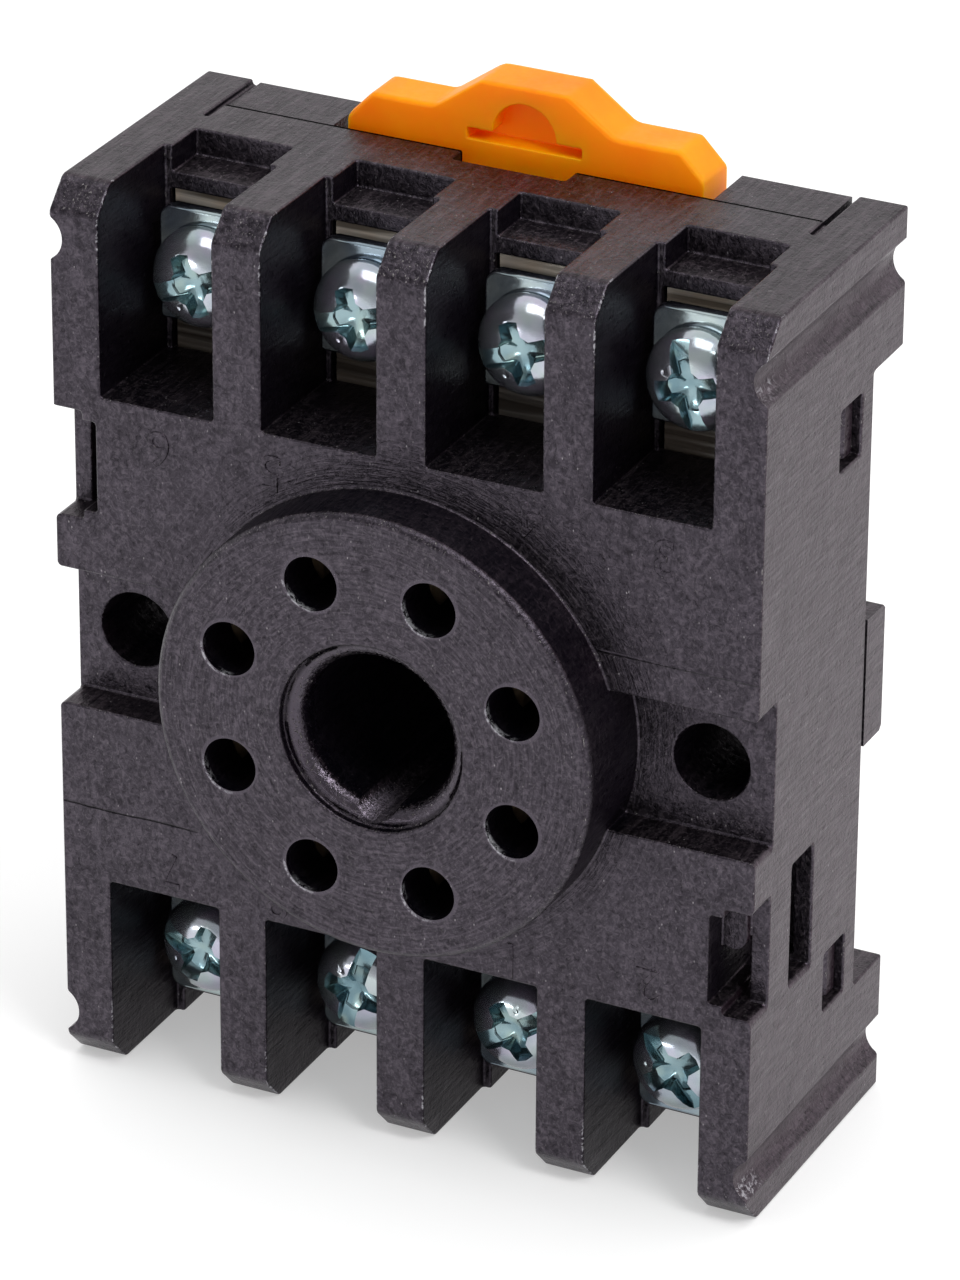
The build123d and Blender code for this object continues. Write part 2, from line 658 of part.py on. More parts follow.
def make_slider_spring():
    free_end = WINDOW_BOTTOM + SPRING_WIRE / 2
    seat = PEG_BOTTOM - SPRING_WIRE / 2
    length = seat - free_end
    middle_depth = (SLIDER_FRONT + SLIDER_REAR) / 2
    with BuildPart() as spring:
        with BuildLine(Plane(origin=(0, FRONT_Y + middle_depth, AXIS_Z + free_end))) as coil:
            Helix(length / SPRING_COILS, length, SPRING_RADIUS)
        with BuildSketch(coil.line ^ 0):
            Rectangle(SPRING_WIRE, SPRING_WIRE)
        sweep(is_frenet=True)
    spring.part.label = "slider_spring"
    return spring.part


def make_terminal_bar(x, height):
    pin_x, pin_z = pin_for(x, height)
    with BuildPart() as bar:
        extrude(bar_outline(x, height, 0), amount=-BAR_THICKNESS)
        with BuildSketch(section(BAR_FRONT)):
            with Locations((x, height)):
                Circle(THREAD / 2)
            with Locations((pin_x, pin_z)):
                Rectangle(CONTACT_GAP, CONTACT_GAP)
        extrude(amount=-BAR_THICKNESS, mode=Mode.SUBTRACT)
    return bar.part


def make_pin_contact(pin_x, pin_z):
    inner = CONTACT_GAP / 2
    outer = inner + CONTACT_WALL
    mouth_end = CONTACT_START + CONTACT_MOUTH
    with BuildPart() as contact:
        # Two spring leaves that grip the plug pin from both sides, flared at the mouth
        with BuildSketch(level_section(pin_z - CONTACT_WIDTH / 2)):
            for side in (1, -1):
                with BuildLine():
                    Polyline(
                        (pin_x + side * (inner + CONTACT_FLARE), CONTACT_START),
                        (pin_x + side * (outer + CONTACT_FLARE), CONTACT_START),
                        (pin_x + side * outer, mouth_end),
                        (pin_x + side * outer, BAR_FRONT),
                        (pin_x + side * inner, BAR_FRONT),
                        (pin_x + side * inner, mouth_end),
                        close=True,
                    )
                make_face()
        extrude(amount=CONTACT_WIDTH)
        # Flat foot against the terminal bar, open behind the pin's tip
        with BuildSketch(section(BAR_FRONT)):
            with Locations((pin_x, pin_z)):
                Rectangle(FOOT, FOOT)
                Rectangle(CONTACT_GAP, CONTACT_GAP, mode=Mode.SUBTRACT)
        extrude(amount=CONTACT_BASE)
    return contact.part


def make_pressure_plate(x, height):
    row = math.copysign(1, height)
    plate_middle = height + row * (PLATE_ABOVE - PLATE_BELOW) / 2
    with BuildPart() as plate:
        with BuildSketch(section(PLATE_FRONT)) as outline:
            with Locations((x, plate_middle)):
                Rectangle(PLATE_WIDTH, PLATE_ABOVE + PLATE_BELOW)
            chamfer(outline.vertices().sort_by(Axis((0, 0, 0), (0, row, 0)))[-2:], PLATE_BEVEL)
            with Locations((x, height)):
                Circle(PLATE_HOLE / 2, mode=Mode.SUBTRACT)
        extrude(amount=-PLATE_THICKNESS)
    return plate.part


def make_terminal_screw(x, height):
    with BuildPart() as screw:
        # Round head and plain shank on one axis
        with BuildSketch(section(HEAD_SEAT - HEAD_RISE)):
            with Locations((x, height)):
                Circle(HEAD_RADIUS)
        extrude(amount=-HEAD_RISE)
        with BuildSketch(section(HEAD_SEAT)):
            with Locations((x, height)):
                Circle(THREAD / 2 - THREAD_PLAY)
        extrude(amount=HEAD_SEAT - SCREW_TIP)
        # Driver slot
        with BuildSketch(section(HEAD_SEAT - HEAD_RISE)):
            with Locations((x, height)):
                Rectangle(2 * HEAD_RADIUS, SLOT_WIDTH)
        extrude(amount=-SLOT_DEPTH, mode=Mode.SUBTRACT)
    return screw.part


def save(part, name):
    part.label = name
    export_step(part, f"parts/{name}.step")


os.makedirs("parts", exist_ok=True)
save(make_housing(), "housing")
save(make_rear_cover(), "rear_cover")
save(make_din_slider(), "din_slider")
save(make_slider_spring(), "slider_spring")
for number, (place_x, place_z) in enumerate(terminal_places(), start=1):
    save(make_terminal_bar(place_x, place_z), f"terminal_bar_{number}")
    save(make_pin_contact(*pin_for(place_x, place_z)), f"pin_contact_{number}")
    save(make_pressure_plate(place_x, place_z), f"pressure_plate_{number}")
    save(make_terminal_screw(place_x, place_z), f"terminal_screw_{number}")
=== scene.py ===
import math

import bmesh
import bpy
from mathutils import Matrix, Vector


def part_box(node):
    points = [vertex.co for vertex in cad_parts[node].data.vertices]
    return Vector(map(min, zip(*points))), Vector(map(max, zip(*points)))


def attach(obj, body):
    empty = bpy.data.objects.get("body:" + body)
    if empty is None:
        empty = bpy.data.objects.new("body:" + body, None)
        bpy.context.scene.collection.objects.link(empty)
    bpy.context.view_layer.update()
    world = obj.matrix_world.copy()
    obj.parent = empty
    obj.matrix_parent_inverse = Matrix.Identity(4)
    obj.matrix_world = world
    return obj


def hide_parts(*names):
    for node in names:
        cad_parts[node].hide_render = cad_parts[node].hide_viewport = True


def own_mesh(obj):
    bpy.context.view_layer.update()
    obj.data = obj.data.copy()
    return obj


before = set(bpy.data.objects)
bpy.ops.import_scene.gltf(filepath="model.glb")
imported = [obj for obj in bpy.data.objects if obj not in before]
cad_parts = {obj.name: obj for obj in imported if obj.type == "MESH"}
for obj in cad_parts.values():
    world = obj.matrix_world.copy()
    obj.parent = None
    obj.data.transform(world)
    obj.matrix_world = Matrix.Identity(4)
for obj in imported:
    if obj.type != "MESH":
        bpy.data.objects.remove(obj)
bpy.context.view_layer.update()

# Shapes are built in millimetres and become metres when a mesh is finished
MM = 0.001

FRONT = -6.9
AXIS = 25.5
COLUMNS = (-13.95, -4.65, 4.65, 13.95)
SCREW_HEIGHT = 19.5
SEAT = -1.4

# Plug holes, guide bore, panel screws and cavity sills, from the plug axis
PIN_CIRCLE = 8.725
PIN_RIM = 1.56
BORE_RIM = 5.12
PANEL_SCREW = 16.5
SILL = 14.6

# Heights of the ridge beside the boss and of the crease at the lower left
RIDGE = 31.6
CREASE = 15.7

PHOTO_AZIMUTH = math.radians(26.0573)
PHOTO_ELEVATION = math.radians(26.5369)
PHOTO_ROLL = math.radians(0.3990)
PHOTO_DISTANCE = 0.350991
PHOTO_TARGET = Vector((0.0045397, -0.0069, 0.0306771))
PHOTO_LENS = 195.34


def add_object(name, data):
    made = bpy.data.objects.new(name, data)
    bpy.context.scene.collection.objects.link(made)
    return made


def add_camera():
    data = bpy.data.cameras.new("photo_camera")
    data.sensor_width = 36
    data.lens = PHOTO_LENS
    data.clip_start = 0.01
    data.clip_end = 10
    camera = add_object("photo_camera", data)
    sin_a, cos_a = math.sin(PHOTO_AZIMUTH), math.cos(PHOTO_AZIMUTH)
    sin_e, cos_e = math.sin(PHOTO_ELEVATION), math.cos(PHOTO_ELEVATION)
    back = Vector((sin_a * cos_e, -cos_a * cos_e, sin_e))
    level = Vector((cos_a, sin_a, 0))
    above = back.cross(level)
    right = math.cos(PHOTO_ROLL) * level + math.sin(PHOTO_ROLL) * above
    up = back.cross(right)
    place = Matrix((right, up, back)).transposed().to_4x4()
    place.translation = PHOTO_TARGET + PHOTO_DISTANCE * back
    camera.matrix_world = place
    bpy.context.scene.camera = camera


class Graph:
    """The nodes of a material or of the world, made and linked in short calls."""

    def __init__(self, owner):
        self.owner = owner
        self.owner.use_nodes = True
        self.tree = owner.node_tree

    def put(self, socket, value):
        if isinstance(value, bpy.types.NodeSocket):
            self.tree.links.new(value, socket)
        else:
            socket.default_value = value

    def node(self, kind, inputs=(), out=0, **settings):
        made = self.tree.nodes.new(kind)
        for key, value in settings.items():
            setattr(made, key, value)
        for key, value in dict(inputs).items():
            self.put(made.inputs[key], value)
        return made.outputs[out]

    def place(self):
        return self.node("ShaderNodeTexCoord", out="Object")

    def stretch(self, vector, scale):
        return self.node("ShaderNodeMapping", {"Vector": vector, "Scale": scale})

    def noise(self, vector, scale, detail=2.0, roughness=0.5, distortion=0.0):
        inputs = {
            "Vector": vector,
            "Scale": scale,
            "Detail": detail,
            "Roughness": roughness,
            "Distortion": distortion,
        }
        return self.node("ShaderNodeTexNoise", inputs)

    def ramp(self, value, low, high, out_low=0.0, out_high=1.0):
        inputs = {"Value": value, "From Min": low, "From Max": high, "To Min": out_low, "To Max": out_high}
        return self.node("ShaderNodeMapRange", inputs, clamp=True)

    def line(self, value, centre, fade, full):
        """1 within full of a centre value, and 0 from fade away."""
        return self.ramp(self.size(self.minus(value, centre)), fade, full)

    def math(self, operation, a, b=0.0):
        return self.node("ShaderNodeMath", {0: a, 1: b}, operation=operation)

    def plus(self, first, *others):
        for other in others:
            first = self.math("ADD", first, other)
        return first

    def minus(self, a, b):
        return self.math("SUBTRACT", a, b)

    def times(self, first, *others):
        for other in others:
            first = self.math("MULTIPLY", first, other)
        return first

    def over(self, a, b):
        return self.math("DIVIDE", a, b)

    def larger(self, first, *others):
        for other in others:
            first = self.math("MAXIMUM", first, other)
        return first

    def size(self, value):
        return self.math("ABSOLUTE", value)

    def distance(self, a, b):
        return self.math("SQRT", self.plus(self.times(a, a), self.times(b, b)))

    def without(self, mask, share=1.0):
        """What is left of 1 when a mask takes its share."""
        return self.minus(1.0, self.times(mask, share))

    def split(self, vector):
        made = self.tree.nodes.new("ShaderNodeSeparateXYZ")
        self.put(made.inputs[0], vector)
        return made.outputs[0], made.outputs[1], made.outputs[2]

    def unite(self, x, y, z):
        return self.node("ShaderNodeCombineXYZ", {"X": x, "Y": y, "Z": z})

    def mix(self, factor, a, b):
        return self.node("ShaderNodeMix", {0: factor, 6: a, 7: b}, 2, data_type="RGBA")

    def bump(self, height, depth, strength=1.0):
        inputs = {"Height": height, "Distance": depth * MM, "Strength": strength}
        return self.node("ShaderNodeBump", inputs)

    def finish(self, **inputs):
        shader = self.tree.nodes["Principled BSDF"]
        for key, value in inputs.items():
            self.put(shader.inputs[key.replace("_", " ")], value)
        return self.owner


def graph_of(name):
    return Graph(bpy.data.materials.new(name))


def rgb(red, green, blue):
    return (red, green, blue, 1.0)


def black_moulding():
    g = graph_of("black_moulding")
    spot = g.place()
    x, y, z = g.split(g.stretch(spot, (1 / MM, 1 / MM, 1 / MM)))
    height = g.minus(z, AXIS)
    aside = g.size(x)
    level = g.size(height)
    reach = g.distance(x, height)
    angle = g.math("ARCTAN2", height, x)

    # Which way a face looks
    normal = g.node("ShaderNodeTexCoord", out="Normal")
    side, front, top = [g.size(part) for part in g.split(normal)]
    slanted = g.times(g.ramp(front, 0.3, 0.45), g.ramp(front, 0.93, 0.84))
    ahead = g.ramp(front, 0.7, 0.9)
    sideways = g.ramp(side, 0.7, 0.9)
    plug_side = g.times(g.ramp(y, -4.0, -5.0), ahead)

    # Grain, and fine marks that run round the plug axis on forward faces near the boss
    grain = g.noise(spot, 3300, 3, 0.7, 0.8)
    patch = g.noise(spot, 300, 3, 0.6)
    blotch = g.noise(g.stretch(spot, (900, 900, 300)), 1, 3, 0.6)
    along_y = g.noise(g.stretch(spot, (3600, 420, 3600)), 1, 2, 0.6)
    flow = g.noise(g.stretch(spot, (1700, 1700, 1000)), 1, 3, 0.7, 1.6)
    around = g.unite(g.times(reach, 6.8), g.times(angle, 6.5), 0.0)
    swirl = g.noise(around, 1, 2, 0.65)
    near = g.times(g.ramp(reach, 17.5, 12.5), plug_side)
    streak = g.mix(near, g.mix(ahead, along_y, flow), swirl)
    cells = {"Vector": g.stretch(spot, (2600, 2600, 1500)), "Scale": 1.0}
    fleck = g.ramp(g.node("ShaderNodeTexVoronoi", cells), 0.13, 0.05)
    fleck = g.times(fleck, g.ramp(g.noise(spot, 700, 3), 0.49, 0.62))
    speck = g.ramp(g.noise(g.stretch(spot, (9000, 9000, 5200)), 1, 1, 0.5), 0.64, 0.74)

    # Painted shade inside the terminal cavities, on their floors and in holes
    inner = g.times(sideways, g.ramp(aside, 18.4, 18.0))
    floors = g.times(g.ramp(top, 0.7, 0.9), g.line(level, SILL, 0.6, 0.3))
    from_screw = g.distance(g.minus(aside, PANEL_SCREW), height)
    walls = g.larger(g.ramp(reach, 13.4, 12.7), g.ramp(from_screw, 2.4, 2.2))
    hollow = g.times(g.ramp(front, 0.4, 0.15), walls)
    painted_shade = g.larger(inner, floors, hollow)

    # Polished at the rims of the plug holes and of the guide bore
    sector = g.over(angle, math.pi / 4)
    eighth = g.minus(g.math("FRACT", sector), 0.5)
    across = g.times(eighth, math.pi / 4, PIN_CIRCLE)
    from_hole = g.distance(across, g.minus(reach, PIN_CIRCLE))
    rim = g.times(g.ramp(from_hole, 1.70, 1.62), g.ramp(y, -9.9, -10.1))
    lip = g.times(g.ramp(reach, 5.3, 5.1), g.ramp(y, -8.0, -8.6))
    polished = g.larger(rim, lip)
    # Painted shade: a ring at the bore's rim reflects less, standing in for the shaded step into the bore
    painted_groove_shade = g.times(g.line(reach, BORE_RIM, 0.3, 0.1), lip)

    # Painted highlight: bright arcs at the lower left of each plug hole's rim, speckled by the grain
    middle = g.times(g.minus(sector, eighth), math.pi / 4)
    lean_x = g.minus(x, g.times(g.math("COSINE", middle), PIN_CIRCLE))
    lean_z = g.minus(height, g.times(g.math("SINE", middle), PIN_CIRCLE))
    lean = g.over(g.plus(lean_x, lean_z), g.larger(from_hole, 0.1))
    painted_rim_highlight = g.times(g.line(from_hole, PIN_RIM, 0.09, 0.03), g.ramp(lean, -0.8, -1.3), rim)
    painted_rim_highlight = g.times(painted_rim_highlight, g.ramp(grain, 0.42, 0.58))

    # Worn flecks along the outer edges of the barrier walls
    edge = g.times(g.ramp(side, 0.25, 0.45), g.ramp(side, 0.97, 0.88))
    edge = g.times(edge, g.ramp(level, 21.2, 22.2), g.ramp(y, -4.5, -5.3))
    wear_and_painted_highlight = g.larger(painted_rim_highlight, g.times(edge, g.ramp(grain, 0.52, 0.62)))

    # Painted shade along the seam in front of the rear cover and in the wandering crease, and a fine ridge
    seam = g.times(g.ramp(y, 6.24, 6.34), g.ramp(y, 6.68, 6.62))
    seam = g.times(seam, g.ramp(z, 50.3, 50.4), g.ramp(aside, 17.02, 16.9))
    ridge = g.times(g.line(z, RIDGE, 0.09, 0.02), g.ramp(x, 11.0, 11.3), plug_side)
    wander = g.times(g.minus(patch, 0.5), 0.22)
    crease = g.line(g.plus(z, wander), CREASE, 0.07, 0.02)
    crease = g.times(crease, g.ramp(x, -11.7, -12.5), plug_side)
    painted_line_shade = g.larger(seam, g.times(crease, 0.8))

    base = g.mix(g.ramp(patch, 0.35, 0.7), rgb(0.0012, 0.0010, 0.0015), rgb(0.0030, 0.0024, 0.0034))
    # Painted light: faces looking sideways get a lighter, warmer base than the front
    base = g.mix(g.times(sideways, 0.5), base, rgb(0.016, 0.006, 0.012))
    base = g.mix(g.ramp(streak, 0.52, 0.72, 0.0, 0.7), base, rgb(0.026, 0.021, 0.024))
    base = g.mix(g.ramp(grain, 0.52, 0.68, 0.0, 0.8), base, rgb(0.030, 0.025, 0.028))
    specks = g.times(speck, g.ramp(slanted, 0.0, 1.0, 0.2, 1.0))
    base = g.mix(specks, base, rgb(0.17, 0.16, 0.155))
    base = g.mix(g.times(fleck, 0.6), base, rgb(0.36, 0.34, 0.35))
    # Painted shade: a dark bluish base in the cavities, on their floors and in holes
    base = g.mix(g.times(painted_shade, 0.85), base, rgb(0.0014, 0.0014, 0.0028))
    # Worn flecks on the wall edges, and painted highlight arcs at the hole rims, in one pale colour
    base = g.mix(wear_and_painted_highlight, base, rgb(0.30, 0.30, 0.32))
    # Painted shade: near black along the seam and in the crease
    base = g.mix(painted_line_shade, base, rgb(0.0008, 0.0008, 0.001))

    # Uneven gloss gives the grain on faces that mirror the pale room
    uneven = g.plus(g.times(grain, 0.62), g.times(streak, 0.38))
    gloss = g.ramp(uneven, 0.36, 0.64, 0.29, 0.97)
    gloss = g.times(gloss, g.ramp(blotch, 0.3, 0.7, 0.84, 1.1))
    gloss = g.times(gloss, g.ramp(g.larger(side, top), 0.8, 0.95, 1.0, 0.72))
    gloss = g.mix(polished, gloss, rgb(0.9, 0.9, 0.9))
    # Painted shade also takes away reflection in the cavities and holes, in the ring at the bore, on the
    # seam and in the crease
    gloss = g.times(gloss, g.without(painted_shade, 0.6), g.without(painted_groove_shade, 0.7), g.without(painted_line_shade))

    relief = g.plus(g.times(grain, 0.7), g.times(streak, 0.7), g.times(patch, 1.4))
    relief = g.plus(relief, g.times(speck, slanted, 1.2), g.times(ridge, 1.6))
    relief = g.minus(relief, g.times(crease, 1.6))
    plum, violet = rgb(1.0, 0.72, 0.93), rgb(0.93, 0.80, 1.0)
    return g.finish(
        Base_Color=base,
        Roughness=g.minus(g.ramp(grain, 0.32, 0.68, 0.26, 0.44), g.times(polished, 0.15)),
        Specular_IOR_Level=gloss,
        Specular_Tint=g.mix(g.larger(ahead, slanted), plum, violet),
        Normal=g.bump(relief, 0.07, 0.85),
    )


def orange_moulding():
    g = graph_of("orange_moulding")
    spot = g.place()
    cloud = g.noise(spot, 190, 3, 0.55)
    fine = g.noise(spot, 2600, 2, 0.5)
    return g.finish(
        Base_Color=g.mix(g.ramp(cloud, 0.3, 0.7), rgb(1.0, 0.225, 0.0), rgb(1.0, 0.315, 0.0)),
        Roughness=g.ramp(fine, 0.3, 0.7, 0.36, 0.48),
        Specular_IOR_Level=0.15,
        Subsurface_Weight=0.75,
        Subsurface_Radius=(2.6 * MM, 0.9 * MM, 0.1 * MM),
        Subsurface_Scale=1.0,
        Normal=g.bump(g.plus(cloud, g.times(fine, 0.12)), 0.08, 0.4),
    )


def zinc_plating(name, recess_shade):
    """Bluish plating, or a darker, greener copy of it with painted shade and painted reflection for the
    faces deep in a recess.
    """
    g = graph_of(name)
    spot = g.place()
    tint = g.noise(spot, 520, 2, 0.5)
    hue = g.noise(spot, 800, 1, 0.4)
    fine = g.noise(spot, 7000, 3, 0.6)
    # Darker, greener base: painted shade and painted reflection inside the cross recess
    if recess_shade:
        base = g.mix(g.ramp(tint, 0.38, 0.62), rgb(0.16, 0.26, 0.30), rgb(0.29, 0.41, 0.44))
        base = g.mix(g.ramp(hue, 0.52, 0.66, 0.0, 0.6), base, rgb(0.36, 0.46, 0.42))
    else:
        base = g.mix(g.ramp(tint, 0.38, 0.62), rgb(0.38, 0.43, 0.49), rgb(0.52, 0.54, 0.60))
        base = g.mix(g.ramp(hue, 0.5, 0.66, 0.0, 0.5), base, rgb(0.42, 0.52, 0.49))
        base = g.mix(g.ramp(hue, 0.46, 0.34, 0.0, 0.5), base, rgb(0.52, 0.47, 0.61))
    return g.finish(
        Base_Color=base,
        Metallic=0.93,
        Roughness=g.ramp(fine, 0.3, 0.75, 0.12, 0.22),
        Normal=g.bump(g.plus(tint, g.times(fine, 0.05)), 0.09, 0.6),
    )


def plate_steel():
    g = graph_of("plate_steel")
    spot = g.place()
    tint = g.noise(spot, 420, 2, 0.5)
    fine = g.noise(spot, 3800, 2, 0.6)
    return g.finish(
        Base_Color=g.mix(g.ramp(tint, 0.38, 0.62), rgb(0.28, 0.35, 0.41), rgb(0.46, 0.54, 0.54)),
        Metallic=1.0,
        Roughness=g.ramp(fine, 0.3, 0.75, 0.09, 0.17),
        Normal=g.bump(g.plus(tint, g.times(fine, 0.08)), 0.03, 0.35),
    )


def brass_strip():
    g = graph_of("brass_strip")
    spot = g.place()
    roll_and_painted_reflection = g.noise(g.stretch(spot, (70, 1700, 1700)), 1, 1, 0.4)
    tint = g.noise(spot, 380, 2, 0.5)
    base = g.mix(g.ramp(tint, 0.35, 0.65), rgb(0.96, 0.78, 0.62), rgb(1.0, 0.92, 0.82))
    # Dark bands along the strip: rolling marks, and a painted dark reflection between the pale bands
    base = g.mix(g.ramp(roll_and_painted_reflection, 0.49, 0.43, 0.0, 0.8), base, rgb(0.20, 0.155, 0.11))
    # Painted shade below the pressure plates' top edge, where the strip sits behind them
    level = g.size(g.minus(g.split(spot)[2], AXIS * MM))
    base = g.mix(g.ramp(level, 22.6 * MM, 22.0 * MM, 0.0, 0.9), base, rgb(0.035, 0.028, 0.024))
    return g.finish(
        Base_Color=base,
        Metallic=0.12,
        Roughness=g.ramp(roll_and_painted_reflection, 0.35, 0.65, 0.2, 0.32),
        Normal=g.bump(roll_and_painted_reflection, 0.5),
    )


def contact_brass():
    g = graph_of("contact_brass")
    tint = g.noise(g.place(), 900, 2, 0.5)
    return g.finish(
        Base_Color=g.mix(g.ramp(tint, 0.35, 0.65), rgb(0.30, 0.21, 0.13), rgb(0.48, 0.36, 0.24)),
        Metallic=0.7,
        Roughness=g.ramp(tint, 0.3, 0.7, 0.3, 0.45),
    )


def spring_steel():
    g = graph_of("spring_steel")
    fine = g.noise(g.place(), 3000, 2, 0.5)
    return g.finish(
        Base_Color=g.mix(g.ramp(fine, 0.35, 0.65), rgb(0.42, 0.43, 0.45), rgb(0.60, 0.61, 0.62)),
        Metallic=1.0,
        Roughness=g.ramp(fine, 0.3, 0.7, 0.25, 0.4),
    )


BLACK = black_moulding()
ORANGE = orange_moulding()
ZINC = zinc_plating("zinc_plating", False)
ZINC_RECESS_SHADE = zinc_plating("zinc_plating_recess_shade", True)
STEEL = plate_steel()
BRASS = brass_strip()
CONTACT = contact_brass()
SPRING = spring_steel()


def dress(node, material):
    """Gives a carried-over CAD node its procedural material."""
    for slot in bpy.data.objects[node].material_slots:
        slot.material = material


def link(name, mesh, material):
    mesh.materials.append(material)
    return add_object(name, mesh)


def settle(made):
    """Applies an object's modifiers and gives back a plain mesh."""
    bpy.context.view_layer.update()
    seen = made.evaluated_get(bpy.context.evaluated_depsgraph_get())
    mesh = bpy.data.meshes.new_from_object(seen)
    bpy.data.objects.remove(made)
    return mesh


def mesh_of(name, vertices, faces):
    mesh = bpy.data.meshes.new(name)
    mesh.from_pydata(vertices, [], faces)
    mesh.validate()
    work = bmesh.new()
    work.from_mesh(mesh)
    bmesh.ops.recalc_face_normals(work, faces=work.faces)
    work.to_mesh(mesh)
    work.free()
    return mesh


def shade(mesh, degrees):
    """Smooth faces, with the edges sharper than an angle kept sharp."""
    for polygon in mesh.polygons:
        polygon.use_smooth = True
    mesh.set_sharp_from_angle(angle=math.radians(degrees))


def bands(rows, count):
    """Faces between closed rows of equal length, one after another."""
    faces = []
    for row in range(rows - 1):
        for k in range(count):
            a = row * count + k
            b = row * count + (k + 1) % count
            faces.append((a, b, b + count, a + count))
    last = (rows - 1) * count
    faces.append(tuple(range(count)))
    faces.append(tuple(last + k for k in range(count)))
    return faces


def ring(radius, height, count):
    turns = [2 * math.pi * k / count for k in range(count)]
    return [(radius * math.cos(turn), radius * math.sin(turn), height) for turn in turns]


def loft(rings):
    """Closed rings of equal length joined into one solid."""
    vertices = [point for points in rings for point in points]
    return vertices, bands(len(rings), len(rings[0]))


def lathe(profile, count):
    """A solid round the z axis from (radius, height) points."""
    return loft([ring(radius, height, count) for radius, height in profile])


def facing_front(x, y, height, turn):
    """Turns a shape about its own z axis, sets it looking ahead and brings it to its place in metres."""
    spin = Matrix.Rotation(turn, 4, "Z")
    face = Matrix.Rotation(math.radians(90), 4, "X")
    move = Matrix.Translation((x, y, AXIS + height))
    return Matrix.Scale(MM, 4) @ move @ face @ spin


def add_rounded(node, name, radius, body, material, weigh):
    """A moulding's own shape with its edges rounded: weigh gives each edge its share of the radius."""
    source = bpy.data.objects[node]
    work = bmesh.new()
    work.from_mesh(source.data)
    work.transform(source.matrix_world)
    bmesh.ops.remove_doubles(work, verts=work.verts, dist=0.002 * MM)
    flat = math.radians(0.6)
    bmesh.ops.dissolve_limit(work, angle_limit=flat, verts=work.verts, edges=work.edges)
    share = work.edges.layers.float.new("bevel_weight_edge")
    for edge in work.edges:
        if len(edge.link_faces) == 2 and edge.calc_face_angle(0) > math.radians(28):
            edge[share] = weigh(edge)
    mesh = bpy.data.meshes.new(name)
    work.to_mesh(mesh)
    work.free()
    made = add_object("rounded", mesh)
    soften = made.modifiers.new("soften", "BEVEL")
    soften.limit_method = "WEIGHT"
    soften.width = radius
    soften.segments = 2
    soften.use_clamp_overlap = False
    soften.harden_normals = True
    soften.miter_outer = "MITER_ARC"
    mesh = settle(made)
    made = link(name, mesh, material)
    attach(made, body)
    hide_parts(node)


def measured(edge):
    """An edge's length, direction and middle in millimetres, the middle's height from the plug axis."""
    start, end = edge.verts[0].co / MM, edge.verts[1].co / MM
    along = end - start
    return along.length, along.normalized(), (start + end) / 2 - Vector((0, 0, AXIS))


def weigh_slider(edge):
    """Full rounding on the crown, less in its window and below, none on the shortest edges."""
    length, _, middle = measured(edge)
    if length < 0.2:
        return 0.0
    window = abs(middle.x) < 3.4 and middle.y < 8.8 and 25.5 < middle.z < 28.7
    return 0.3 if window or middle.z < 25.0 else 1.0


def weigh_housing(edge):
    """Full rounding on wall ends and shoulders, less elsewhere, none behind the rear cover."""
    length, along, middle = measured(edge)
    level = abs(middle.z)
    # The edges of the recess's own sides, 17.2 mm out, stay rounded
    behind_cover = middle.y > 4.5 and abs(middle.x) < 17.199 and level < 23.5
    if length < 0.28 or behind_cover:
        return 0.0
    wall_end = abs(along.x) > 0.9 and level > 23.8 and middle.y < -5.1
    shoulder = abs(along.y) > 0.9 and abs(middle.x) > 19.8 and 3.5 < level < 13.6
    return 1.0 if wall_end or shoulder else 0.39


def add_spring():
    """The slider's coil spring in round wire."""
    low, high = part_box("slider_spring")
    wire, turns, around, steps = 0.18, 4.1, 10, 140
    crowding = 0.045
    centre = Vector(((low[0] + high[0]) / 2, (low[1] + high[1]) / 2, low[2])) / MM
    length = (high[2] - low[2]) / MM - 2 * wire
    coil = (high[0] - low[0]) / MM / 2 - wire
    rings = []
    for step in range(steps + 1):
        share = step / steps
        # Coils closer together at both ends and in the middle
        rise = share + crowding * math.sin(4 * math.pi * share)
        turn = 2 * math.pi * turns * share
        out = Vector((math.cos(turn), math.sin(turn), 0))
        middle = centre + out * coil + Vector((0, 0, wire + length * rise))
        points = []
        for k in range(around):
            angle = 2 * math.pi * k / around
            offset = math.cos(angle) * out + math.sin(angle) * Vector((0, 0, 1))
            points.append(tuple(middle + wire * offset))
        rings.append(points)
    mesh = mesh_of("spring", *loft(rings))
    mesh.transform(Matrix.Scale(MM, 4))
    shade(mesh, 40)
    made = link("spring_look", mesh, SPRING)
    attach(made, "socket")
    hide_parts("slider_spring")
    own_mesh(made)


# Radius and height of the screw head's outline, its seat at height 0
HEAD_PROFILE = (
    (0.45, 1.9),
    (1.0, 1.885),
    (1.45, 1.82),
    (1.85, 1.68),
    (2.2, 1.44),
    (2.48, 1.12),
    (2.66, 0.76),
    (2.74, 0.42),
    (2.74, 0.2),
    (2.68, 0.06),
    (2.56, 0.0),
    (1.2, 0.0),
)

# Reach, half width, core and height of the cross recess, from the top down
CROSS_RINGS = (
    (1.98, 0.6, 0.98, 2.2),
    (1.66, 0.5, 0.8, 1.5),
    (1.34, 0.42, 0.62, 1.02),
    (0.5, 0.2, 0.25, 0.9),
)

# Half width and height of the slot's mouth and floor, and its half length
SLOT_RINGS = ((0.56, 2.4), (0.5, 1.15))
SLOT_REACH = 3.2

# Round dimple in the dome between two arms of the cross
DIMPLE_AT = Vector((1.02, 1.02, 2.02))
DIMPLE_PROFILE = ((0.02, -0.26), (0.16, -0.2), (0.24, -0.08), (0.26, 0.1), (0.2, 0.3))


